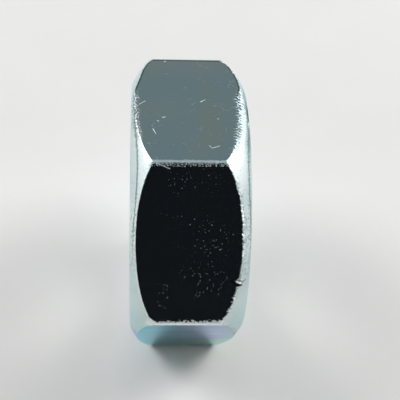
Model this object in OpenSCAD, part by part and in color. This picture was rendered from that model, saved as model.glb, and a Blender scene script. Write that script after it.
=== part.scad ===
// Hex jam nut for a half-inch coarse thread, in millimetres.
// A thin cold-formed steel nut with a chamfer at both ends. One end was pressed in a die, which gives
// a shallow bearing chamfer and a steeper one at the corners. The other end was cut with one cone.
// The thread axis is +X, the nut stands on one of its six flats with +Z up, and the origin is the
// middle of the hole. The helical thread itself isn't cut: the hole has the thread's minor diameter.

/* [Hexagon] */
// Width across two opposite flats
across_flats = 18.9; // [18:0.05:20]
// Thickness from end face to end face
thickness = 7.95; // [7:0.05:10]
// Radius along the six edges between the flats
corner_r = 0.3; // [0.1:0.05:0.6]

/* [End faces] */
// How far the flat ring on each end face stops short of the flats
ring_inset = 0.6; // [0.4:0.05:0.9]
// Radius where an end face turns into its chamfer
rim_r = 0.8; // [0.3:0.05:1]

/* [Chamfers] */
// Slope of the formed end's bearing chamfer, in degrees from the end face
formed_slope = 30; // [20:1:35]
// Slope of the formed end's corners, in degrees from the end face
formed_corner_slope = 42; // [36:1:45]
// How far outside the flats the formed end changes from one slope to the other
crease_outset = 0.75; // [0.3:0.05:0.9]
// Slope of the cut end's chamfer, in degrees from the end face
cut_slope = 38; // [25:1:42]

/* [Hole] */
// Minor diameter of the thread, which is the drilled hole
bore_d = 10.8; // [9:0.05:11.5]
// Diameter of each countersink at the end face
countersink_d = 13.4; // [12.8:0.1:14]
// Included angle of each countersink
countersink_angle = 120; // [90:5:120]

/* [Hidden] */

FLATS = 6;
SMOOTH = 96;
CORNER_STEPS = 5;
OVERLAP = 1;

// Hexagon: the centres of the corner arcs lie on a smaller hexagon
corner_centre_r = (across_flats / 2 - corner_r) / cos(180 / FLATS);

// Radii of the turned form
ring_r = across_flats / 2 - ring_inset;
crease_r = across_flats / 2 + crease_outset;
blank_r = corner_centre_r + corner_r + OVERLAP;

// Depths below the end faces
crease_depth = (crease_r - ring_r) * tan(formed_slope);
formed_depth = crease_depth + (blank_r - crease_r) * tan(formed_corner_slope);
cut_depth = (blank_r - ring_r) * tan(cut_slope);
countersink_depth = (countersink_d - bore_d) / 2 / tan(countersink_angle / 2);

// Distance from the sharp corner of a rim to where its arc meets the face and the chamfer
function rim_run(slope) = rim_r * tan(slope / 2);

// Points of one end's profile, [radius, height], from the axis out to its chamfer.
// side is 1 for the top end and -1 for the bottom end.
function rim_points(slope, side) = [
    [0, side * thickness / 2],
    [ring_r - rim_run(slope), side * thickness / 2],
    [ring_r + rim_run(slope) * cos(slope), side * (thickness / 2 - rim_run(slope) * sin(slope))],
];

// Arc between an end face and its chamfer, as a disc that touches both
module rim_disc(slope, side) {
    translate([ring_r - rim_run(slope), side * (thickness / 2 - rim_r)])
        circle(r = rim_r, $fn = SMOOTH);
}

// Half section of the turned form: formed end down, cut end up
module turned_profile() {
    formed_end = concat(
        rim_points(formed_slope, -1),
        [[crease_r, crease_depth - thickness / 2], [blank_r, formed_depth - thickness / 2]]
    );
    cut_end = concat(
        rim_points(cut_slope, 1),
        [[blank_r, thickness / 2 - cut_depth]]
    );
    polygon(concat(formed_end, [for (i = [len(cut_end) - 1 : -1 : 0]) cut_end[i]]));
    rim_disc(formed_slope, -1);
    rim_disc(cut_slope, 1);
}

// Hexagon with rounded corners and flats square to its own X axis. Each corner is an arc of CORNER_STEPS
// short sides, which turns through the angle between two flats.
module hexagon() {
    polygon([
        for (corner = [0 : FLATS - 1], i = [0 : CORNER_STEPS])
            let (middle = (corner + 0.5) * 360 / FLATS,
                 turn = middle + (i / CORNER_STEPS - 0.5) * 360 / FLATS)
            corner_centre_r * [cos(middle), sin(middle)] + corner_r * [cos(turn), sin(turn)]
    ]);
}

// Hexagonal bar trimmed by the turned form, which leaves the curved edges of the flats
module blank() {
    intersection() {
        linear_extrude(thickness, center = true)
            hexagon();
        rotate_extrude($fn = SMOOTH)
            turned_profile();
    }
}

// Countersink opening towards +Z, with its mouth in the end face
module countersink() {
    translate([0, 0, thickness / 2 - countersink_depth])
        cylinder(h = countersink_depth, d1 = bore_d, d2 = countersink_d, $fn = SMOOTH);
    translate([0, 0, thickness / 2])
        cylinder(h = OVERLAP, d = countersink_d, $fn = SMOOTH);
}

// The nut, turned so that its thread axis is X and two flats are level
module nut() {
    color([0.72, 0.75, 0.76])
        rotate([0, 90, 0])
            difference() {
                blank();
                cylinder(h = thickness + 2 * OVERLAP, d = bore_d, center = true, $fn = SMOOTH);
                countersink();
                mirror([0, 0, 1])
                    countersink();
            }
}

nut();
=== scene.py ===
# %% [markdown]
# # A zinc-plated hex jam nut
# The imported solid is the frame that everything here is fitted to: a thin hexagon nut whose thread
# axis is X, standing on one of its six flats. This notebook dresses it with the real outline of its
# two chamfers, the helical thread, the torn edges that the cutting tool left, and a zinc finish.

# %% Load the frame
import math
import bpy
import numpy as np
from mathutils import Matrix, Vector


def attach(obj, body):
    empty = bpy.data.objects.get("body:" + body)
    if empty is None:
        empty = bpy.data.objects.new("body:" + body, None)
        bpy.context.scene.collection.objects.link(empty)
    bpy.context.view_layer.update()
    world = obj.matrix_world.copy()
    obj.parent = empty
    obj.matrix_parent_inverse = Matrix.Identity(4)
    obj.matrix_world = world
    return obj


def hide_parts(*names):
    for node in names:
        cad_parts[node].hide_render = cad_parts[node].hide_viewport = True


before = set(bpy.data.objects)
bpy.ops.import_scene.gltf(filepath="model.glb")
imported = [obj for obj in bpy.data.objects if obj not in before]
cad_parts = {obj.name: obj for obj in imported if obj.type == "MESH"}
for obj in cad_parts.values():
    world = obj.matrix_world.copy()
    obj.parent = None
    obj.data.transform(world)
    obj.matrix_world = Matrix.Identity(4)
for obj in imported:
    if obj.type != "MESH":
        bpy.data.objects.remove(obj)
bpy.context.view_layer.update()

# %% [markdown]
# ## Camera
# The nut is a few millimetres across, so the camera is close, with a long lens and a little roll.
# A camera could be aimed by a Track To constraint, but a roll can't be given that way. Here its
# three axes are worked out from yaw, pitch and roll and written into its matrix.

# %% Camera
MM = 0.001
FRAME_SIZE = 400
SENSOR = 36.0
CLIP_START = 0.005
CLIP_END = 10
CAMERA_PLACE = (-3.129, -50.756, 50.183)
FOCAL_PIXELS = 969.2


def make_camera(place, yaw, pitch, roll, focal_pixels):
    """place is in mm, angles are in degrees, and focal_pixels is for a frame FRAME_SIZE wide."""
    yaw, pitch, roll = (math.radians(angle) for angle in (yaw, pitch, roll))
    run = math.cos(pitch)
    ahead = Vector((math.sin(yaw) * run, math.cos(yaw) * run, -math.sin(pitch)))
    level = Vector((math.cos(yaw), -math.sin(yaw), 0))
    above = level.cross(ahead)
    right = level * math.cos(roll) + above * math.sin(roll)
    up = above * math.cos(roll) - level * math.sin(roll)
    data = bpy.data.cameras.new("camera")
    data.sensor_width = SENSOR
    data.lens = focal_pixels / FRAME_SIZE * SENSOR
    data.clip_start = CLIP_START
    data.clip_end = CLIP_END
    camera = bpy.data.objects.new("camera", data)
    turned = Matrix((right, up, -ahead)).transposed().to_4x4()
    camera.matrix_world = Matrix.Translation(Vector(place) * MM) @ turned
    bpy.context.scene.collection.objects.link(camera)
    bpy.context.scene.camera = camera
    return camera


camera = make_camera(CAMERA_PLACE, yaw=4.703, pitch=44.11, roll=3.69, focal_pixels=FOCAL_PIXELS)
print("lens", round(camera.data.lens, 1), "mm")

# %% [markdown]
# ## Shader sums
# A finish is mostly masks: how far a point is from an edge, mixed with noise. Nodes joined one by
# one hide that arithmetic. The small class below wraps a socket, so that a mask is written as a sum
# and Python adds the Math nodes. Colours and vectors go through Vector Math and Mix nodes.

# %% Signals
class Signal:
    """The output of a node, which can be added, multiplied and compared."""

    def __init__(self, finish, socket):
        self.finish = finish
        self.socket = socket

    def pair(self, operation, first, second):
        plain = all(
            isinstance(v, (int, float)) or isinstance(v, Signal) and v.socket.type == "VALUE"
            for v in (first, second)
        )
        kind = "ShaderNodeMath" if plain else "ShaderNodeVectorMath"
        return self.finish.node(kind, {"operation": operation}, {0: first, 1: second})

    def __add__(self, other):
        return self.pair("ADD", self, other)

    def __radd__(self, other):
        return self.pair("ADD", other, self)

    def __sub__(self, other):
        return self.pair("SUBTRACT", self, other)

    def __rsub__(self, other):
        return self.pair("SUBTRACT", other, self)

    def __mul__(self, other):
        return self.pair("MULTIPLY", self, other)

    def __rmul__(self, other):
        return self.pair("MULTIPLY", other, self)

    def __truediv__(self, other):
        return self.pair("DIVIDE", self, other)

    def __abs__(self):
        return self.finish.node("ShaderNodeMath", {"operation": "ABSOLUTE"}, {0: self})

    def most(self, other):
        return self.pair("MAXIMUM", self, other)

    def least(self, other):
        return self.pair("MINIMUM", self, other)


print("signals ready")

# %% [markdown]
# ### Writing a finish
# Three node groups come up again and again: a smooth step between two distances, a mix of two
# colours, and a noise. They are methods here, so that each mask of the finish is one line.

# %% Finishes
class Finish:
    """A material, or the world, whose nodes are being written."""

    def __init__(self, owner):
        owner.use_nodes = True
        self.tree = owner.node_tree
        self.tree.nodes.clear()

    def node(self, kind, settings=None, sockets=None, out=0):
        """Adds a node: its settings first, then its sockets. Gives its output number or name out."""
        made = self.tree.nodes.new(kind)
        for name, value in (settings or {}).items():
            if name == "stops":
                self.set_stops(made.color_ramp, value)
            else:
                setattr(made, name, value)
        for name, value in (sockets or {}).items():
            self.fill(made.inputs[name], value)
        return Signal(self, made.outputs[out]) if made.outputs else made

    def fill(self, socket, value):
        if isinstance(value, Signal):
            self.tree.links.new(value.socket, socket)
        elif socket.type == "RGBA":
            socket.default_value = (*value, 1.0)
        elif socket.type == "VECTOR" and isinstance(value, (int, float)):
            socket.default_value = (value, value, value)
        else:
            socket.default_value = value

    def set_stops(self, ramp, stops):
        while len(ramp.elements) < len(stops):
            ramp.elements.new(1.0)
        for element, (place, colour) in zip(ramp.elements, stops):
            element.position = place
            element.color = (*colour, 1.0)

    def step(self, value, low, high):
        """0 at low, 1 at high, and smooth between. Where low is above high, the mask falls instead."""
        settings = {"interpolation_type": "SMOOTHSTEP"}
        sockets = {"Value": value, "From Min": min(low, high), "From Max": max(low, high)}
        if low > high:
            sockets.update({"To Min": 1.0, "To Max": 0.0})
        return self.node("ShaderNodeMapRange", settings, sockets)

    def mix(self, share, start, end):
        """A colour between start and end."""
        return self.node("ShaderNodeMix", {"data_type": "RGBA"}, {0: share, 6: start, 7: end}, out=2)

    def noise(self, place, scale, detail=2.0, rough=0.5, seed=0.0):
        sockets = {"Vector": place, "Scale": scale, "Detail": detail, "Roughness": rough, "W": seed}
        return self.node("ShaderNodeTexNoise", {"noise_dimensions": "4D"}, sockets)


print("finishes ready")

# %% [markdown]
# ## Outline of the hexagon
# The bar that the nut is made from is drawn through a hexagonal die, so its flats are straight and
# its six edges are small arcs. The mesh is a fan of half sections, one for each point of this
# outline, because then every chamfer edge is an exact row of the mesh and needs no boolean. The
# first two flats, the upper and the front one, have the most torn edges, so they get more points.

# %% Outline
ACROSS_FLATS = 18.9
THICK = 7.95
CORNER_R = 0.3
FLATS = 6
FLAT_TURN = 60
FLAT_STEPS = (352, 352, 176, 176, 176, 176)
CORNER_STEPS = 8
apothem = ACROSS_FLATS / 2
corner_centre = (apothem - CORNER_R) / math.cos(math.pi / FLATS)
flat_half = corner_centre * math.sin(math.pi / FLATS)
corner_run = CORNER_R * math.pi / FLATS


def outline():
    """Points of the hexagon from the middle of the upper flat, round by the front. Columns: y, z,
    distance round from that middle, and distance from the nearest edge between two flats."""
    points = []
    pitch = 2 * (flat_half + corner_run)
    for flat in range(FLATS):
        turn = math.radians(90 - FLAT_TURN * flat)
        out = np.array((-math.cos(turn), math.sin(turn)))
        along = np.array((-math.sin(turn), -math.cos(turn)))
        for i in range(FLAT_STEPS[flat]):
            run = flat_half * (2 * i / FLAT_STEPS[flat] - 1)
            spot = apothem * out + run * along
            points.append((*spot, flat * pitch + run, flat_half + corner_run - abs(run)))
        centre = (apothem - CORNER_R) * out + flat_half * along
        for i in range(CORNER_STEPS):
            share = i / CORNER_STEPS
            bend = math.radians(FLAT_TURN * share)
            run = 2 * corner_run * share
            spot = centre + CORNER_R * (math.cos(bend) * out + math.sin(bend) * along)
            points.append((*spot, flat * pitch + flat_half + run, abs(corner_run - run)))
    return np.array(points)


ring = outline()
print(len(ring), "points round; across the edges", round(2 * np.abs(ring[:, 0]).max(), 3), "mm")

# %% [markdown]
# ## Chamfers
# The formed end was pressed in a die and the cut end was turned. On each, a shallow band next to the
# face ends at a fine crease, and a crowned chamfer runs from the crease to the flats. The crease is
# a little hexagonal, and both ends are centred a little off the thread axis, so the curved edges of
# the flats differ from flat to flat. Each end is a depth below its face for each radius. Slopes are
# in degrees, at the band, at the crease and at the corners, and radii are in millimetres.

# %% The two ends
RING_R = 8.85
CORNER_REACH = 10.87
FORMED = {
    "side": -1,
    "centre": (0.14, 0.063),
    "rim_r": 0.8,
    "slopes": (28.0, 32.5, 44.0),
    "crease": (9.27, 9.75),
}
CUT = {
    "side": 1,
    "centre": (0.227, -0.054),
    "rim_r": 0.35,
    "slopes": (28.0, 34.5, 44.0),
    "crease": (8.95, 9.30),
}
outer = np.linalg.norm(ring[:, :2], axis=1)
direction = ring[:, :2] / outer[:, None]
around = ring[:, 2]
corner_pull = 0.5 - 0.5 * np.cos(FLATS * np.arctan2(direction[:, 0], direction[:, 1]))
print("columns reach from", outer.min().round(3), "to", outer.max().round(3), "mm")

# %% Chamfer depths
def rise(degrees):
    return math.tan(math.radians(degrees))


def rim_run(end):
    return end["rim_r"] * rise(end["slopes"][0] / 2)


def crease_radius(end):
    """Radius of the crease at each column, largest at the corners of the hexagon."""
    flat, corner = end["crease"]
    return flat + (corner - flat) * corner_pull


def cone_depth(end, radius):
    """Depth below the end face at a radius outside the rim."""
    shallow, first, last = (rise(slope) for slope in end["slopes"])
    crease = crease_radius(end)
    past = np.maximum(radius - crease, 0)
    crown = (last - first) / (CORNER_REACH - crease) / 2
    return (np.minimum(radius, crease) - RING_R) * shallow + past * first + past ** 2 * crown


def reach(end, radius):
    """Distance from the thread axis, along each column, to a circle about the end's own centre."""
    lean = direction @ np.array(end["centre"])
    return lean + np.sqrt(radius ** 2 - sum(c * c for c in end["centre"]) + lean ** 2)


def own_radius(end, distance):
    """The opposite of reach()."""
    spots = direction * np.asarray(distance)[..., None] - np.array(end["centre"])
    return np.linalg.norm(spots, axis=-1)


for end in (FORMED, CUT):
    deepest = cone_depth(end, outer).max()
    print("side", end["side"], "depth at the corners", round(float(deepest), 3), "mm")

# %% [markdown]
# ## Torn edges
# Forming and cutting don't leave perfect arcs: the edge of a flat wanders by a tenth of a
# millimetre or two. At the cut end the tool also chattered, which tore short teeth into the edges,
# and one edge was knocked. They are real relief, so they are made as depths added to the chamfer
# near the edge, and not as bump. The slow wander is listed: each pair is a distance round the
# outline and the depth added there, in millimetres. The teeth come from a seeded random draw.

# %% Slow wander
CUT_WANDER = (
    (-5.3, 0.28), (-5.1, 0.14), (-4.9, 0.04), (-4.6, -0.04), (-3.0, -0.14), (-2.2, -0.10),
    (-1.5, 0.10), (-1.0, 0.24), (0.8, 0.27), (2.4, 0.19), (4.4, 0.10), (5.3, 0.14),
    (6.0, 0.02), (9.0, 0.01), (9.9, 0.06), (11.0, 0.04), (12.5, 0.02), (15.0, 0.04),
    (15.7, 0.06), (16.1, 0.2), (16.45, 0.2), (16.9, 0.06), (24.0, 0.06), (33.0, -0.08),
    (41.0, 0.05), (49.0, -0.04), (55.0, 0.02), (59.3, 0.06), (60.0, 0.28),
)
FORMED_WANDER = (
    (-5.3, 0.24), (-5.1, 0.12), (-4.9, 0.04), (-4.2, -0.02), (-3.3, -0.02), (-2.4, -0.08),
    (-1.6, -0.13), (-1.0, 0.02), (1.0, 0.03), (2.0, 0.0), (6.0, 0.02), (8.0, 0.0),
    (12.0, -0.02), (15.0, -0.06), (15.85, -0.04), (16.15, 0.18), (16.45, 0.18), (16.8, 0.0),
    (25.0, 0.05), (36.0, -0.06), (47.0, 0.04), (55.0, 0.0), (59.3, 0.05), (60.0, 0.24),
)


def wander(end):
    points = CUT_WANDER if end["side"] > 0 else FORMED_WANDER
    return np.interp(around, [p[0] for p in points], [p[1] for p in points])


for end in (FORMED, CUT):
    print("side", end["side"], "wander", wander(end).min().round(3), "to", wander(end).max().round(3), "mm")

# %% Waves and teeth
COMB_HALF = 5.5
ROUND_END = 60.0
COMB_TOOTH = 0.28
FINE_TOOTH = 0.16
TEETH_SEED = 7
TEETH_DRAWS = 512
WAVE_DRAWS = 1024
WAVE_START = 20.0
comb_turns = 2 * COMB_HALF / COMB_TOOTH
all_turns = comb_turns + (ROUND_END - COMB_HALF) / FINE_TOOTH
turns = np.interp(around, (-COMB_HALF, COMB_HALF, ROUND_END), (0.0, comb_turns, all_turns))
rng = np.random.default_rng(TEETH_SEED)
heights = rng.uniform(0.25, 1.0, TEETH_DRAWS)
leans = rng.uniform(0.15, 0.5, TEETH_DRAWS)


def wave(run, length, seed):
    """A smooth random wave from -1 to 1 along the distance round the hexagon."""
    table = np.random.default_rng(seed).uniform(-1, 1, WAVE_DRAWS)
    place = (run + WAVE_START) / length
    low = np.floor(place).astype(int)
    share = place - low
    share = share * share * (3 - 2 * share)
    return table[low % WAVE_DRAWS] * (1 - share) + table[(low + 1) % WAVE_DRAWS] * share


def teeth():
    """Saw teeth of uneven height, 0 to 1, one to each of the turns."""
    place = turns + 0.3 * wave(around, 0.7, 3)
    low = np.floor(place).astype(int)
    share = place - low
    lean = leans[low % TEETH_DRAWS]
    saw = np.where(share < lean, share / lean, (1 - share) / (1 - lean))
    return saw * heights[low % TEETH_DRAWS]


print(round(comb_turns), "teeth in the comb, and", round(all_turns - comb_turns), "finer ones")

# %% [markdown]
# ### Fine relief
# On the cut end the teeth are tallest in the comb on the upper flat, and grow again near the foot of
# the front flat. The knock in the front flat's edge is a bulge beside a narrow pit. The formed end
# is only a little rough, most of all in the middle of the upper flat.

# %% Tears and the knock
TOOTH_BASE = 0.35
KNOCK_BULGE = 13.35
KNOCK_PIT = 13.62


def hump(run, middle, width):
    return np.exp(-((run - middle) / width) ** 2)


def cut_tears():
    comb = 0.2 * np.clip((around + 1.8) / 0.5, 0, 1) * np.clip((4.6 - around) / 1.2, 0, 1)
    torn = 0.05 + 0.04 * wave(around, 1.9, 11) + comb
    torn = torn + 0.04 * hump(around, 10.5, 4.0) + 0.12 * hump(around, 14.9, 1.0)
    fine = torn * (teeth() - TOOTH_BASE) + 0.02 * wave(around, 0.4, 12)
    return fine - 0.26 * hump(around, KNOCK_PIT, 0.09) + 0.22 * hump(around, KNOCK_BULGE, 0.12)


def formed_tears():
    rough = 0.01 + 0.07 * hump(around, 0.2, 1.5)
    return rough * wave(around, 0.13, 21) + 0.012 * wave(around, 0.9, 22)


def tears(end):
    """Fine relief of one end's edge, in mm of depth, which end_rows() fades out away from it."""
    return cut_tears() if end["side"] > 0 else formed_tears()


for end in (FORMED, CUT):
    print("side", end["side"], "tears", tears(end).min().round(3), "to", tears(end).max().round(3), "mm")

# %% [markdown]
# ## Outer skin
# Each half section runs from the flat ring on one end face, round the rim, down the chamfer, over
# a small broken edge, along the flat, and up the other side. All sections have the same number of
# points, so the skin is one grid of quads whose rows follow the real edges and the crease.

# %% Rows of the skin
RIM_STEPS = 4
BAND_STEPS = 2
CHAMFER_STEPS = 7
BREAK = 0.05
BREAK_STEPS = 3
FLAT_ROWS = 10
FLAT_GATHER = 0.1
RING_START = 6.95
FINE_REACH = 0.2
SLOW_REACH = 0.45
CREASE_AFTER = 0.02
CREASE_BEFORE = 0.04
CHAMFER_EASE = 0.4
print(RIM_STEPS + BAND_STEPS + CHAMFER_STEPS + BREAK_STEPS, "steps from each rim to the flat")

# %% One end
zero = np.zeros(len(ring))


def end_rows(end):
    """Rows of one end from the face to the flat, as (distance from the axis, depth) per column."""
    rows = [(zero + RING_START, zero)]
    start = RING_R - rim_run(end)
    rows.append((0.5 * (RING_START + reach(end, start)), zero))
    for i in range(RIM_STEPS + 1):
        turn = math.radians(end["slopes"][0]) * i / RIM_STEPS
        radius = start + end["rim_r"] * math.sin(turn)
        rows.append((reach(end, radius), zero + end["rim_r"] * (1 - math.cos(turn))))
    first = rows[-1][0]
    fine = tears(end)
    slow = wander(end)

    def depth(distance):
        near = outer - distance
        shift = fine * np.exp(-((near / FINE_REACH) ** 2)) + slow * np.exp(-((near / SLOW_REACH) ** 2))
        return cone_depth(end, own_radius(end, distance)) + shift

    last = outer - BREAK
    crease = np.clip(reach(end, crease_radius(end)), first + CREASE_AFTER, last - CREASE_BEFORE)
    for i in range(1, BAND_STEPS + 1):
        spot = first + (crease - first) * i / BAND_STEPS
        rows.append((spot, depth(spot)))
    for i in range(1, CHAMFER_STEPS + 1):
        share = i / CHAMFER_STEPS
        spot = crease + (last - crease) * share * (1 + CHAMFER_EASE - CHAMFER_EASE * share)
        rows.append((spot, depth(spot)))
    inner = rows[-1]
    tip = (outer, depth(outer))
    after = (outer, tip[1] + BREAK)
    for i in range(1, BREAK_STEPS + 1):
        s = i / BREAK_STEPS
        weights = ((1 - s) ** 2, 2 * s * (1 - s), s ** 2)
        rows.append(tuple(sum(w * p[k] for w, p in zip(weights, (inner, tip, after))) for k in (0, 1)))
    return rows, tip[1]


formed_rows, formed_edge = end_rows(FORMED)
cut_rows, cut_edge = end_rows(CUT)
print(len(formed_rows), "rows at the formed end and", len(cut_rows), "at the cut end")

# %% Join the two ends
half = THICK / 2
lowest = formed_rows[-1][1] - half
highest = half - cut_rows[-1][1]
middle_rows = []
for i in range(1, FLAT_ROWS + 1):
    s = i / (FLAT_ROWS + 1)
    s = s - FLAT_GATHER * math.sin(2 * math.pi * s)
    middle_rows.append((outer, lowest + (highest - lowest) * s))
skin = [(r, d - half) for r, d in formed_rows] + middle_rows
skin += [(r, half - d) for r, d in reversed(cut_rows)]
print(len(skin), "rows of", len(ring))

# %% [markdown]
# ## Thread
# A half-inch coarse thread: 13 turns an inch, with 60 degree flanks. The screw modifier would need
# a boolean to join it to the countersinks. Instead the hole is a grid sheared along the helix, so
# crests and roots are rows of the mesh, and rows that leave the hole are drawn into its mouth.

# %% Thread grid
PITCH = 25.4 / 13
MINOR_R = 5.4
MAJOR_R = 6.35
MOUTH_R = 6.7
SINK_SLOPE = math.tan(math.radians(60))
CREST = 1 / 8
FLANK = 5 / 16
ROUNDING = 0.25
TURN_ROWS = 16
HOLE_SKIP = 4
MOUTH_GAP = 0.01
hole_columns = len(ring) // HOLE_SKIP
hole_direction = direction[::HOLE_SKIP]
hole_turn = np.unwrap(np.arctan2(hole_direction[:, 1], -hole_direction[:, 0]))
hole_turn = (hole_turn[0] - hole_turn) / (2 * math.pi)


def thread_radius(phase):
    """Radius of the thread's form at a phase, 0 to 1, of one turn."""
    away = np.abs(phase - 0.5)
    share = np.clip((away - CREST) / FLANK, 0, 1)
    share = share * share * (3 - 2 * share) * ROUNDING + share * (1 - ROUNDING)
    return MINOR_R + (MAJOR_R - MINOR_R) * share


low_k = int(math.floor(-half / PITCH * TURN_ROWS)) - TURN_ROWS - 1
high_k = int(math.ceil(half / PITCH * TURN_ROWS)) + 1
hole_verts = []
hole_ids = {}


def hole_vertex(column, k):
    """The number of a vertex of the hole. Rows past a mouth share that mouth's vertex."""
    if column == hole_columns:
        column, k = 0, k + TURN_ROWS
    x = (k / TURN_ROWS + hole_turn[column]) * PITCH
    key = "low" if x <= MOUTH_GAP - half else "high" if x >= half - MOUTH_GAP else k
    if (column, key) not in hole_ids:
        hole_ids[(column, key)] = len(hole_verts)
        if key == "low" or key == "high":
            x, radius = (-half if key == "low" else half), MOUTH_R
        else:
            sink = MOUTH_R - (half - abs(x)) * SINK_SLOPE
            radius = max(float(thread_radius((k % TURN_ROWS) / TURN_ROWS)), sink)
        hole_verts.append((x, radius * hole_direction[column, 0], radius * hole_direction[column, 1]))
    return hole_ids[(column, key)]


print(hole_columns, "columns in the hole, rows", low_k, "to", high_k)

# %% Faces of the thread
hole_faces = []
for column in range(hole_columns):
    for k in range(low_k, high_k):
        corners = [hole_vertex(column, k), hole_vertex(column, k + 1)]
        corners += [hole_vertex(column + 1, k + 1), hole_vertex(column + 1, k)]
        kept = [v for i, v in enumerate(corners) if v != corners[i - 1]]
        if len(set(kept)) >= 3:
            hole_faces.append(kept)
print(len(hole_verts), "vertices in the hole,", len(hole_faces), "faces")

# %% [markdown]
# ## One closed mesh
# The skin has four times as many columns as the hole, so a row of fans joins each mouth to its end
# face. Each vertex also carries how far it is from the chamfer edges, from the nearest edge between
# two flats and from the crease, in millimetres, and the finish is worked out from those distances.

# %% Faces of the skin
columns = len(ring)
skin_verts = np.concatenate(
    [np.column_stack((x, r * direction[:, 0], r * direction[:, 1])) for r, x in skin]
)
skin_faces = []
for row in range(len(skin) - 1):
    base = row * columns
    for column in range(columns):
        after = (column + 1) % columns
        skin_faces.append((base + column, base + columns + column, base + columns + after, base + after))
print(len(skin_verts), "vertices and", len(skin_faces), "faces in the skin")

# %% Join the hole and build the nut
first_hole = len(skin_verts)
for key, row in (("low", 0), ("high", len(skin) - 1)):
    for column in range(hole_columns):
        here = first_hole + hole_ids[(column, key)]
        there = first_hole + hole_ids[((column + 1) % hole_columns, key)]
        fine = [row * columns + (column * HOLE_SKIP + i) % columns for i in range(HOLE_SKIP + 1)]
        fan = [(here, fine[0], fine[1]), (here, fine[1], fine[2]), (here, fine[2], there)]
        fan += [(there, fine[2], fine[3]), (there, fine[3], fine[4])]
        skin_faces += fan if key == "low" else [tuple(reversed(face)) for face in fan]
verts = np.concatenate((skin_verts, np.array(hole_verts))) * MM
faces = skin_faces + [tuple(first_hole + v for v in face) for face in hole_faces]

mesh = bpy.data.meshes.new("jam_nut")
mesh.from_pydata([tuple(v) for v in verts], [], faces)
mesh.update()
print(len(mesh.vertices), "vertices,", sum(len(f) - 2 for f in faces), "triangles")

# %% Measures for the finish
FAR_INSIDE = -5.0
FAR_FROM_CORNER = 5.0
NOT_ROUND = -9.0


def add_measure(name, rows, inside):
    """A number on each vertex: rows are per row of the skin, and inside is its value in the hole."""
    values = np.concatenate((np.concatenate(rows), np.full(len(hole_verts), inside)))
    mesh.attributes.new(name, "FLOAT", "POINT").data.foreach_set("value", values.astype(np.float32))


formed_line = formed_edge - half
cut_line = half - cut_edge
add_measure("formed_mm", [x - formed_line for r, x in skin], FAR_INSIDE)
add_measure("cut_mm", [cut_line - x for r, x in skin], FAR_INSIDE)
add_measure("corner_mm", [ring[:, 3] for row in skin], FAR_FROM_CORNER)
add_measure("around_mm", [around for row in skin], NOT_ROUND)
add_measure("tooth", [turns for row in skin], 0.0)
creases = []
for r, x in skin:
    formed_gap = own_radius(FORMED, r) - crease_radius(FORMED)
    cut_gap = own_radius(CUT, r) - crease_radius(CUT)
    creases.append(np.where(x < 0, formed_gap, cut_gap))
add_measure("crease_mm", creases, FAR_INSIDE)
print("measures:", ", ".join(name for name in mesh.attributes.keys() if name.endswith("_mm")))

# %% [markdown]
# ## Shading of the edges
# A mesh this fine could be shaded flat, but its facets would show in the mirror of the flats. It is
# shaded smooth, and only the thread's crests and the mouths of the countersinks are marked sharp.

# %% Smooth and sharp
import bmesh

SHARP_ANGLE = math.radians(24)
work = bmesh.new()
work.from_mesh(mesh)
bmesh.ops.recalc_face_normals(work, faces=work.faces)
open_edges = [e for e in work.edges if not e.is_manifold]
for face in work.faces:
    face.smooth = True
for edge in work.edges:
    if edge.is_manifold and edge.calc_face_angle() > SHARP_ANGLE:
        edge.smooth = False
volume = work.calc_volume()
work.to_mesh(mesh)
work.free()
nut = bpy.data.objects.new("jam_nut", mesh)
bpy.context.scene.collection.objects.link(nut)
print(len(open_edges), "open edges; volume", round(volume * 1e9, 1), "cubic mm")

# %% [markdown]
# ## Zinc finish
# Bright zinc over steel: a mirror with a faint blue cast, and a thin clear passivate film that shows
# tints where it lies thicker. The flats keep the shine of the drawn bar, the chamfers are duller
# from the die and the tool, and small knocks scatter light. One metal carries all of it. Masks worked
# out from the distances on the mesh, in millimetres, change its colour and roughness. Some of the
# colour masks are painted light and shade: a sheen of the film, lighter and darker patches, and dark
# lines at the creases and edges.

# %% Places and distances
TO_MM = 1 / MM
zinc = bpy.data.materials.new("zinc_plate")
f = Finish(zinc)


def measure(name):
    return f.node("ShaderNodeAttribute", {"attribute_name": name}, out="Fac")


place = f.node("ShaderNodeTexCoord", out="Object") * TO_MM
px = f.node("ShaderNodeSeparateXYZ", {}, {0: place}, out="X")
py = Signal(f, px.socket.node.outputs["Y"])
pz = Signal(f, px.socket.node.outputs["Z"])
formed_mm = measure("formed_mm")
cut_mm = measure("cut_mm")
corner_mm = measure("corner_mm")
crease_mm = measure("crease_mm")
around_mm = measure("around_mm")
tooth = measure("tooth")
edge_mm = formed_mm.least(cut_mm)
on_flat = f.step(edge_mm, -0.03, 0.02)
cut_side = f.step(px, -0.2, 0.2)
print("measures ready")

# %% Noises
SLOW_SCALE = 0.35
GRAIN_SCALE = 8.0
PIT_SCALE = 13.0
GRIT_SCALE = 6.0
DRAWN_SCALE = 7.0
mottle = f.noise(place, SLOW_SCALE, 3.0, 0.55, 1.0)
grain = f.noise(place, GRAIN_SCALE, 3.0, 0.6, 2.0)
pits = f.noise(place, PIT_SCALE, 2.0, 0.6, 3.0)
grit = f.noise(place, GRIT_SCALE, 1.0, 0.5, 11.0)
drawn_place = f.node("ShaderNodeMapping", {}, {"Vector": place, "Scale": (0.12, 1.0, 1.0)})
drawn = f.noise(drawn_place, DRAWN_SCALE, 3.0, 0.6, 4.0)
print("noises ready")
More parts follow.
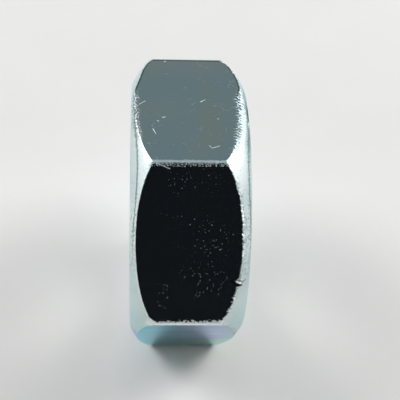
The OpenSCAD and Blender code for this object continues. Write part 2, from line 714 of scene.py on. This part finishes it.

# %% [markdown]
# ### Passivate film
# The clear film over the zinc is thinner than a wave of light, so it tints the metal where it lies
# a little thicker: cyan, blue, violet, then green. A thin film node would need the film's thickness
# to vary, which the exported model can't keep, so the tint is a colour ramp over the surface. The
# tint is laid on strongest on the lower front flat and the chamfers below the front, which is a
# painted sheen: there it stands for the colours that a grazing view brings out. At the foot of that
# flat a darker green is painted reflection of the shadow under the nut, tinted by the film. Elsewhere
# the tint varies slowly.

# %% Film colours
FILM_STOPS = [
    (0.0, (0.12, 0.66, 0.78)),
    (0.25, (0.18, 0.62, 0.86)),
    (0.45, (0.56, 0.59, 0.98)),
    (0.62, (0.62, 0.49, 0.98)),
    (0.80, (0.58, 0.39, 0.84)),
    (1.0, (0.56, 0.52, 0.66)),
]
MIRRORED_SHADOW_GREEN = (0.30, 0.54, 0.56)
MINT = (0.50, 0.74, 0.62)
low_front = f.step(pz, -0.1, -0.7) * f.step(pz, -9.4, -8.2) * f.step(py, 5.0, 3.0)
low_end = f.step(pz, -2.6, -4.4) * f.step(py, 5.0, 3.0) * f.step(crease_mm, -0.6, 0.2)
drift = f.noise(place, 0.22, 2.0, 0.5, 6.0)
along = (px + 3.2) / 6.4 + (drift - 0.5) * 0.3 + (drawn - 0.5) * 0.25
along = along.most(f.step(px, -3.2, -3.65) * 0.8)
film = f.node("ShaderNodeValToRGB", {"stops": FILM_STOPS}, {"Fac": along}, out="Color")
# Painted reflection: a darker green at the foot of the lower front flat stands for the shadow under the nut
# that this flat mirrors, tinted by the film.
green = f.step(pz + (drift - 0.5) * 5.0, -4.9, -6.6) * f.step(abs(px + 0.3), 3.0, 1.0)
film = f.mix(green, film, MIRRORED_SHADOW_GREEN)
low_right = px * 1.3 - pz + (drift - 0.5) * 5.0 + (mottle - 0.5) * 4.0
film = f.mix(f.step(low_right, 7.0, 10.5) * f.step(pz, -4.6, -7.2), film, MINT)
# Painted sheen: the film's tint is laid on strongest on the lower front flat and the chamfers under the
# front, where it stands for the colours of a grazing view.
film_and_sheen_share = low_front * on_flat * (0.75 + 0.5 * drift) + low_end * (1.0 - on_flat) * 0.68
film_and_sheen_share = film_and_sheen_share.least(1.0) + f.step(drift, 0.52, 0.75) * 0.16
print("film of", len(FILM_STOPS), "colours")

# %% [markdown]
# ### Bare zinc
# Where the film is thin the plating has its own colours: clean on the flats, greyer on the pressed
# and turned chamfers, and a little warm in a patch on the upper flat. Painted shade makes the cut
# chamfer darker beside the upper flat and darkest under the comb, and painted reflection makes the
# back of the upper flat lighter and warmer.

# %% Zinc colours
COOL = (0.73, 0.865, 0.90)
WARM = (0.80, 0.88, 0.865)
DULL_COOL = (0.69, 0.785, 0.80)
DULL_WARM = (0.74, 0.81, 0.79)
TOOL_GREY_AND_SHADE = (0.50, 0.60, 0.63)
UNDER_COMB_PAINTED_SHADE = (0.33, 0.40, 0.42)
PALE = (0.81, 0.90, 0.88)
STRAW = (0.84, 0.84, 0.72)
IVORY_PAINTED_REFLECTION = (0.90, 0.90, 0.86)
colour = f.mix(f.step(mottle, 0.35, 0.65), COOL, WARM)
dull = f.mix(f.step(mottle, 0.35, 0.65), DULL_COOL, DULL_WARM)
mid_cut = cut_side * f.step(corner_mm, 0.8, 2.8)
# Painted shade: the cut chamfer is made much darker beside the upper flat. The next line greys the rest of
# the cut chamfer lightly.
dull = f.mix(mid_cut * f.step(around_mm, 9.0, 4.0) * 0.8, dull, TOOL_GREY_AND_SHADE)
dull = f.mix(mid_cut * 0.35, dull, TOOL_GREY_AND_SHADE)
# Painted shade: darker still under the comb.
below_comb = mid_cut * f.step(cut_mm, -0.15, -0.35) * f.step(around_mm, 5.0, 3.0)
dull = f.mix(below_comb * 0.8, dull, UNDER_COMB_PAINTED_SHADE)
dull = f.mix(f.step(around_mm, 7.0, 10.0) * (1.0 - cut_side * 0.5) * 0.5, dull, PALE)
colour = f.mix(1.0 - on_flat, colour, dull)
colour = f.mix(film_and_sheen_share, colour, film)
patch = f.step(px, 0.2, 0.9) * f.step(px, 2.3, 1.7) * f.step(py, 3.6, 1.6) * f.step(py, -5.2, -3.6)
patch = patch * f.step(pz, 8.0, 9.0) * f.step(mottle, 0.3, 0.6)
colour = f.mix(patch * 0.5, colour, STRAW)
# Painted reflection: the back of the upper flat is made lighter and warmer.
colour = f.mix(f.step(py, 2.0, 5.2) * f.step(pz, 8.0, 9.0) * 0.5, colour, IVORY_PAINTED_REFLECTION)
print("flats and chamfers coloured")

# %% [markdown]
# ### Specks and fine marks
# Loose parts knock together in the plating barrel, and each knock leaves a dot. Voronoi cells give
# separate dots whose size differs from cell to cell, and a slow noise gathers them in patches. A few
# longer strokes are listed, each as the distance from a short line on one flat.

# %% Dots
def specks(scale, radius, share, seed):
    """Dots about radius mm wide in a share of the cells of a Voronoi pattern."""
    sockets = {"Vector": place + (seed * 7.3, seed * 3.1, seed * 5.7), "Scale": scale}
    cell = f.node("ShaderNodeTexVoronoi", {"voronoi_dimensions": "3D"}, sockets, out="Distance")
    tint = Signal(f, cell.socket.node.outputs["Color"])
    pick = f.node("ShaderNodeSeparateColor", {}, {0: tint}, out="Red")
    chosen = f.step(pick, 1.0 - share, 1.0 - 0.7 * share)
    return f.step(cell, radius * scale, 0.4 * radius * scale) * chosen


print("dots ready")

# %% Lines on a flat
def flat_place(turn):
    """A point on one flat as (x, distance from its middle), and a mask of that flat."""
    a = math.radians(turn)
    height = f.node("ShaderNodeVectorMath", {"operation": "DOT_PRODUCT"},
                    {0: place, 1: (0, -math.cos(a), math.sin(a))}, out="Value")
    run = f.node("ShaderNodeVectorMath", {"operation": "DOT_PRODUCT"},
                 {0: place, 1: (0, -math.sin(a), -math.cos(a))}, out="Value")
    spot = f.node("ShaderNodeCombineXYZ", {}, {"X": px, "Y": run})
    return spot, f.step(height, apothem - 0.05, apothem - 0.01)


def stroke(flat, start, end, width):
    """A mask that is 1 on a short line on a flat."""
    spot, mask = flat
    way = (end[0] - start[0], end[1] - start[1])
    size = way[0] ** 2 + way[1] ** 2
    past = spot - (start[0], start[1], 0)
    share = f.node("ShaderNodeVectorMath", {"operation": "DOT_PRODUCT"},
                   {0: past, 1: (way[0] / size, way[1] / size, 0)}, out="Value")
    share = f.node("ShaderNodeClamp", {}, {"Value": share})
    line = f.node("ShaderNodeCombineXYZ", {}, {"X": share * way[0], "Y": share * way[1]})
    gap = f.node("ShaderNodeVectorMath", {"operation": "DISTANCE"}, {0: past, 1: line}, out="Value")
    return f.step(gap, width, 0.3 * width) * mask


upper_flat = flat_place(90)
front_flat = flat_place(90 - FLAT_TURN)
print("flats at", 90, "and", 90 - FLAT_TURN, "degrees")

# %% Strokes
STROKES = (
    (upper_flat, (-1.86, 1.12), (-1.70, 1.05), 0.06),
    (upper_flat, (-2.20, 1.44), (-2.15, 1.47), 0.05),
    (upper_flat, (1.78, 1.18), (1.82, 1.18), 0.045),
    (upper_flat, (-1.68, -5.05), (-1.60, -5.15), 0.045),
    (upper_flat, (1.26, 4.12), (1.75, 3.90), 0.028),
    (upper_flat, (1.10, 3.86), (1.26, 4.12), 0.028),
    (upper_flat, (-2.50, 2.24), (-2.30, 2.78), 0.015),
    (upper_flat, (0.67, -0.57), (1.04, -0.84), 0.022),
    (upper_flat, (-3.40, -0.30), (-3.02, -0.62), 0.022),
    (front_flat, (-2.35, -5.40), (-1.45, -5.02), 0.034),
)
scratches = None
for flat, start, end, width in STROKES:
    mark = stroke(flat, start, end, width)
    scratches = mark if scratches is None else scratches.most(mark)
print(len(STROKES), "strokes")

# %% [markdown]
# ### Patches of dots
# Each patch on the front flat is a place and a radius in millimetres, with its border broken by the
# slow noise. A line on a slow noise gives the hair marks of the upper flat, and a noise stretched
# along the bar gives the drawing lines of the flat underneath.

# %% Dots, hair marks and drawing lines
SPECK_PATCHES = ((1.2, -0.5, 1.7), (-0.9, -4.3, 1.1), (0.9, -4.1, 1.1), (0.6, 2.6, 1.7), (-1.8, 3.7, 1.1))
patches = f.step(f.noise(place, 0.55, 2.0, 0.5, 5.0), 0.5, 0.65) * 0.5
for x, run, radius in SPECK_PATCHES:
    gap = f.node("ShaderNodeVectorMath", {"operation": "DISTANCE"},
                 {0: front_flat[0], 1: (x, run, 0)}, out="Value")
    near = f.step(gap + (mottle - 0.5) * 3.0, 1.3 * radius, 0.2 * radius)
    patches = patches.most(near * front_flat[1])
dots = specks(3.6, 0.036, 0.26, 1.0) * (0.15 + 0.85 * patches)
small_dots = specks(8.0, 0.03, 0.6, 2.0) * (0.1 + 0.32 * patches)
speck_share = 0.25 + 0.75 * front_flat[1]
marks = dots.most(small_dots) * speck_share
worm = f.step(abs(f.noise(place, 1.2, 0.0, 0.5, 9.0) - 0.5), 0.014, 0.005)
worm = worm * f.step(f.noise(place, 1.3, 1.0, 0.5, 10.0), 0.5, 0.6) * upper_flat[1]
streak_place = f.node("ShaderNodeMapping", {}, {"Vector": place, "Scale": (0.1, 1.0, 1.0)})
streaks = f.step(f.noise(streak_place, 1.7, 2.0, 0.6, 13.0), 0.5, 0.62) * low_front * on_flat
streaks = streaks * f.step(abs(px), 3.2, 1.6) * f.step(pz, -6.5, -4.5)
print(len(SPECK_PATCHES), "patches of dots")

# %% [markdown]
# ### Torn edges
# Where a chamfer meets a flat, the torn steel scatters light in specks. The teeth of the comb also
# leave pale marks on the upper flat, in step with the teeth of the mesh.

# %% Comb and torn specks
comb_run = (tooth + (grain - 0.5) * 0.9) * (2 * math.pi)
comb = f.node("ShaderNodeMath", {"operation": "SINE"}, {0: comb_run})
comb_reach = f.step(cut_mm, 0.40, 0.05) * f.step(around_mm, -2.6, -1.4) * f.step(around_mm, 5.3, 3.2)
comb_marks = f.step(comb, 0.0, 0.6) * comb_reach * on_flat
near_edge = f.step(edge_mm, 0.10, 0.02) * f.step(edge_mm, -0.3, -0.05)
torn = near_edge * f.step(pits, 0.52, 0.62) * (0.25 + 0.75 * cut_side) * (1.0 - 0.7 * front_flat[1])
print("torn edges marked")

# %% [markdown]
# ### Edges between flats
# The barrel rubbed the edges between two flats, so they shine in a thin line. Under the edge between
# the upper and the front flat, grit lies in a ragged band of rough specks, and a ragged dark band there
# is painted shade.

# %% Rubbed edges
LIGHT_LINE = 5.36
DARK_LINE = 5.56
at_edge = f.step(edge_mm, -0.25, -0.05)
low_edge = f.step(corner_mm + (grit - 0.5) * 0.7, 0.22, 0.17) * f.step(abs(pz), 1.4, 0.8) * at_edge
near_corner = f.step(corner_mm, 0.17, 0.12) * at_edge
ragged_mm = around_mm + (grit - 0.5) * 0.2
below_edge = f.step(abs(ragged_mm - DARK_LINE), 0.16, 0.1) * at_edge
light_edge = f.step(abs(ragged_mm - LIGHT_LINE), 0.13, 0.08) * at_edge
# Painted shade: a ragged dark band on the front flat just under its upper edge.
corner_painted_shade = f.step(abs(ragged_mm - DARK_LINE), 0.14, 0.08) * f.step(grit, 0.56, 0.5) * at_edge
corner_specks = below_edge * f.step(pits, 0.55, 0.6)
print("light line at", LIGHT_LINE, "and dark line at", DARK_LINE, "mm round")

# %% [markdown]
# ### Crease and rim
# Along the crease on each chamfer a thin dark line is painted shade, widened in patches here and
# there. Behind the upper flat the rim of the chamfers is painted dark instead, also as painted shade.

# %% Dark lines
# Painted shade: a thin dark line along the crease of each chamfer, widened in patches.
line_gap = f.step(abs(crease_mm + (grain - 0.5) * 0.2), 0.09, 0.05)
on_chamfer = f.step(edge_mm, -0.02, -0.08)
crease = line_gap * on_chamfer * f.step(grain, 0.36, 0.48)
crease_width = 1.9 - 0.6 * cut_side
crease_widening = f.step(abs(crease_mm) * crease_width, 0.4, 0.08) * f.step(grit, 0.52, 0.58) * on_chamfer
back_half = f.step(pz, 7.5, 8.5) * f.step(py, 0.8, 1.9)
crease = crease.most(crease_widening * 0.8) * (1.0 - back_half) * f.step(around_mm, 13.0, 9.0)
# Painted shade: a dark line along the far edges of the upper flat.
rim = f.step(abs(edge_mm - 0.05 + (grain - 0.5) * 0.08), 0.10, 0.06) * back_half
rim = rim.most(f.step(corner_mm, 0.28, 0.2) * f.step(pz, 7.5, 8.5) * f.step(py, 3.0, 4.0) * at_edge)
print("crease and rim marked")

# %% [markdown]
# ### Burrs, soot and the knock
# Burrs along the formed edge of the upper flat show as light and dark specks. Soot from the workshop
# lies in the roughness of the chamfers, and more thickly beside the front flat, where short hairs of
# it reach out from the cut edge. The knock bared darker steel.

# %% Burrs and soot
KNOCK_MIDDLE = 13.46
burr = f.step(formed_mm, 0.36, 0.0) * f.step(formed_mm, -0.45, -0.1) * f.step(around_mm, -2.2, -1.2)
burr = burr * f.step(around_mm, 4.0, 2.0)
burr_dark = burr * f.step(f.noise(place, GRAIN_SCALE, 1.0, 0.5, 12.0), 0.54, 0.48)
burr_light = burr * f.step(pits, 0.53, 0.6)
soot = f.step(grit, 0.58, 0.66) * (1.0 - on_flat) * f.step(f.noise(place, 0.8, 2.0, 0.5, 8.0), 0.4, 0.6)
side_soot = f.step(around_mm, 6.0, 8.0) * f.step(around_mm, 14.5, 12.0) * f.step(grit, 0.54, 0.60)
formed_soot = f.step(formed_mm, -0.9, -0.3) * f.step(around_mm, 7.4, 9.5) * f.step(around_mm, 14.2, 12.2)
side_soot = side_soot * (cut_side * (0.5 + 0.4 * f.step(around_mm, 8.0, 9.5))).most(formed_soot * 0.7)
hairs = f.step(abs(cut_mm), 0.4, 0.05) * f.step(grit, 0.48, 0.54)
hairs = hairs * f.step(around_mm, 6.0, 7.0) * f.step(around_mm, 16.0, 14.0)
soot = (soot * 0.35).most(side_soot * (1.0 - on_flat)).most(hairs * (1.0 - on_flat))
knock = f.step(abs(around_mm - KNOCK_MIDDLE), 0.28, 0.2) * f.step(abs(cut_mm), 0.34, 0.26)
print("burrs, soot and knock marked")

# %% [markdown]
# ### One shader
# The masks change one Principled shader: they add roughness, lay colours over each other in the
# order of the table, and raise a little relief. Metal takes its shine from Base Color, so dirt, and
# the shade painted at the creases, the far rim and under an edge, can be a dark colour over it and
# need no second shader.

# %% Roughness
POLISHED = 0.075
rough_chamfer = 0.12 + 0.2 * grain
roughness = POLISHED + on_flat * drawn * 0.03 + (1.0 - on_flat) * (rough_chamfer - POLISHED)
roughness = roughness + near_corner * 0.1 + light_edge * 0.25 + low_edge * 0.4 + torn * 0.25
roughness = roughness + corner_specks * 0.3 + comb_marks * 0.35 + burr_light * 0.3 + worm * 0.19
roughness = roughness + marks * 0.74 + scratches * 0.35
print("polished to a roughness of", POLISHED)

# %% Colours laid over the zinc
OVERLAYS = (
    (marks, (0.95, 0.97, 0.97)),
    (streaks * 0.55, (0.92, 0.90, 1.0)),
    # Painted shade along the creases.
    (crease * 0.9, (0.16, 0.20, 0.20)),
    (low_edge * 0.7, (0.92, 0.95, 0.95)),
    # Painted shade along the far rim.
    (rim * 0.7, (0.10, 0.11, 0.085)),
    (soot * 0.8, (0.24, 0.30, 0.32)),
    (burr_dark * 0.8, (0.22, 0.26, 0.26)),
    (knock * 0.85, (0.24, 0.245, 0.23)),
    # Painted shade under the edge between the upper and the front flat.
    (corner_painted_shade * 0.7, (0.20, 0.21, 0.17)),
)
for share, tint in OVERLAYS:
    colour = f.mix(share, colour, tint)
print(len(OVERLAYS), "colours over the zinc")

# %% Relief and shader
ZINC_TINT = (0.76, 0.93, 0.96)
height = grain * 0.0015 * (1.0 - on_flat) + (torn + corner_specks + burr_light + low_edge) * pits * 0.02
height = height + on_flat * drawn * 0.0004 + (marks + scratches) * 0.008
relief = f.node("ShaderNodeBump", {}, {"Strength": 1.0, "Distance": MM, "Height": height})
sockets = {"Base Color": colour, "Metallic": 1.0, "Roughness": roughness}
sockets.update({"Specular Tint": ZINC_TINT, "Normal": relief})
shader = f.node("ShaderNodeBsdfPrincipled", {}, sockets)
f.node("ShaderNodeOutputMaterial", {}, {"Surface": shader})
mesh.materials.append(zinc)
print(len(f.tree.nodes), "nodes in the zinc finish")

# %% [markdown]
# ## Floor
# A sheet of matt white paper that the nut stands on, faintly cloudy with fibres. Its colour is made
# a little lighter in front of the nut and darker behind it, as painted light and shade across the
# sheet. It could be curved up into a backdrop. It is flat here and very wide, because then its end
# lies far off and it takes the shadow in the same way all round.

# %% Floor
FLOOR_Z = -apothem
FLOOR_HALF = 3000.0
PAPER_NEAR_PAINTED_LIGHT = (0.868, 0.847, 0.83)
PAPER_FAR_PAINTED_SHADE = (0.76, 0.745, 0.735)
FIBRE_DARK = 0.965
FIBRE_LIGHT = 1.035
floor_mesh = bpy.data.meshes.new("paper")
corners = [(-FLOOR_HALF, -FLOOR_HALF), (FLOOR_HALF, -FLOOR_HALF)]
corners += [(FLOOR_HALF, FLOOR_HALF), (-FLOOR_HALF, FLOOR_HALF)]
floor_mesh.from_pydata([(x * MM, y * MM, FLOOR_Z * MM) for x, y in corners], [], [(0, 1, 2, 3)])
floor = bpy.data.objects.new("paper", floor_mesh)
bpy.context.scene.collection.objects.link(floor)
paper = bpy.data.materials.new("paper")
f = Finish(paper)
spot = f.node("ShaderNodeTexCoord", out="Object") * TO_MM
depth_mm = f.node("ShaderNodeSeparateXYZ", {}, {0: spot}, out="Y")
# Painted light and shade: the paper is lighter in front of the nut and darker behind it.
paper_colour = f.mix(f.step(depth_mm, -6.0, 24.0), PAPER_NEAR_PAINTED_LIGHT, PAPER_FAR_PAINTED_SHADE)
fibres = f.noise(spot, 0.11, 3.0, 0.6, 1.0) * 0.7 + f.noise(spot, 1.6, 2.0, 0.5, 2.0) * 0.3
paper_colour = f.mix(fibres, paper_colour * FIBRE_DARK, paper_colour * FIBRE_LIGHT)
shader = f.node("ShaderNodeBsdfDiffuse", {}, {"Color": paper_colour})
f.node("ShaderNodeOutputMaterial", {}, {"Surface": shader})
floor_mesh.materials.append(paper)
print("floor at", FLOOR_Z, "mm")

# %% [markdown]
# ## Light
# A light tent: white walls all round, dim sheets overhead, and the dark opening that the lens looks
# through, with a dim wing on each side of it. The flats are mirrors, so the upper flat shows a sheet
# and the front flat shows the opening. The walls are the plain world. The sheets, the opening and the
# wings are cards that only reflections and stray light see. They cast no shadow, so the lamps beyond
# them still light the nut.

# %% World
WALL_LIGHT = 1.15
world = bpy.data.worlds.new("tent")
bpy.context.scene.world = world
f = Finish(world)
shader = f.node("ShaderNodeBackground", {}, {"Color": (1.0, 1.0, 1.0), "Strength": WALL_LIGHT})
f.node("ShaderNodeOutputWorld", {}, {"Surface": shader})
print("walls of strength", WALL_LIGHT)

# %% A card of light
def card(name, corners, colour):
    """A flat card of plain light, which the camera doesn't see. corners are in mm."""
    data = bpy.data.meshes.new(name)
    data.from_pydata([tuple(MM * v for v in c) for c in corners], [], [(0, 1, 2, 3)])
    made = bpy.data.objects.new(name, data)
    bpy.context.scene.collection.objects.link(made)
    made.visible_camera = False
    made.visible_shadow = False
    material = bpy.data.materials.new(name)
    sheet = Finish(material)
    glow = sheet.node("ShaderNodeEmission", {}, {"Color": colour, "Strength": 1.0})
    sheet.node("ShaderNodeOutputMaterial", {}, {"Surface": glow})
    data.materials.append(material)


print("cards ready")

# %% Sheets, opening and wings
SHEET_HALF = 170
SHEET_Z = 160
SHEET_JOIN = -20
SHEET_BACK = 330
SHEET_FRONT = -290
OPENING_HALF = 160
OPENING_Y = -140
OPENING_FOOT = -6
OPENING_TOP = 90
WING_FOOT = 0
WING_END = -25


def level(front, back):
    """Corners of a level sheet from front to back."""
    row = [(-SHEET_HALF, front, SHEET_Z), (SHEET_HALF, front, SHEET_Z)]
    return row + [(SHEET_HALF, back, SHEET_Z), (-SHEET_HALF, back, SHEET_Z)]


def upright(start, end, foot, top):
    """Corners of an upright card from start to end, which are places on the floor."""
    return [(*start, foot), (*end, foot), (*end, top), (*start, top)]


card("upper_sheet", level(SHEET_JOIN, SHEET_BACK), (0.16, 0.20, 0.21))
card("front_sheet", level(SHEET_FRONT, SHEET_JOIN), (0.12, 0.14, 0.145))
opening = upright((-OPENING_HALF, OPENING_Y), (OPENING_HALF, OPENING_Y), OPENING_FOOT, OPENING_TOP)
card("lens_opening", opening, (0.0065, 0.0075, 0.0095))
for name, x in (("right_wing", OPENING_HALF), ("left_wing", -OPENING_HALF)):
    card(name, upright((x, OPENING_Y), (x, WING_END), WING_FOOT, OPENING_TOP), (0.04, 0.04, 0.04))
print("two sheets, the opening and two wings")

# %% [markdown]
# ## Lamps
# Four soft boxes outside the tent, a pair on each side, throw the soft double shadow. Area lamps are
# used because their size alone sets how soft a shadow is. Places are azimuth, elevation and distance.

# %% Lamps
def lamp(name, azimuth, elevation, away, size, watts):
    """A square soft box aimed at the nut. azimuth is from +X towards +Y."""
    data = bpy.data.lights.new(name, "AREA")
    data.shape = "SQUARE"
    data.size = size * MM
    data.energy = watts
    made = bpy.data.objects.new(name, data)
    a, e = math.radians(azimuth), math.radians(elevation)
    spot = Vector((math.cos(e) * math.cos(a), math.cos(e) * math.sin(a), math.sin(e))) * away * MM
    made.location = spot
    made.rotation_euler = spot.to_track_quat("Z", "Y").to_euler()
    bpy.context.scene.collection.objects.link(made)


LAMPS = (
    ("right_box", 14, 45, 300, 143, 0.33),
    ("left_box", 166, 45, 300, 138, 0.28),
    ("right_fill", 33, 20, 330, 198, 0.34),
    ("left_fill", 148, 24, 330, 198, 0.28),
)
for row in LAMPS:
    lamp(*row)
print(len(LAMPS), "lamps")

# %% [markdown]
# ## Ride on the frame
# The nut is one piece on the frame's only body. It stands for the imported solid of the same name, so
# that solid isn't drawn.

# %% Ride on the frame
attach(nut, "root")
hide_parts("nut")
print(nut.name, "rides on the root body")

# %% [markdown]
# ## View
# The Standard view keeps the paper white and the opening black, where a film curve would grey both.

bpy.context.scene.view_settings.view_transform = "Standard"
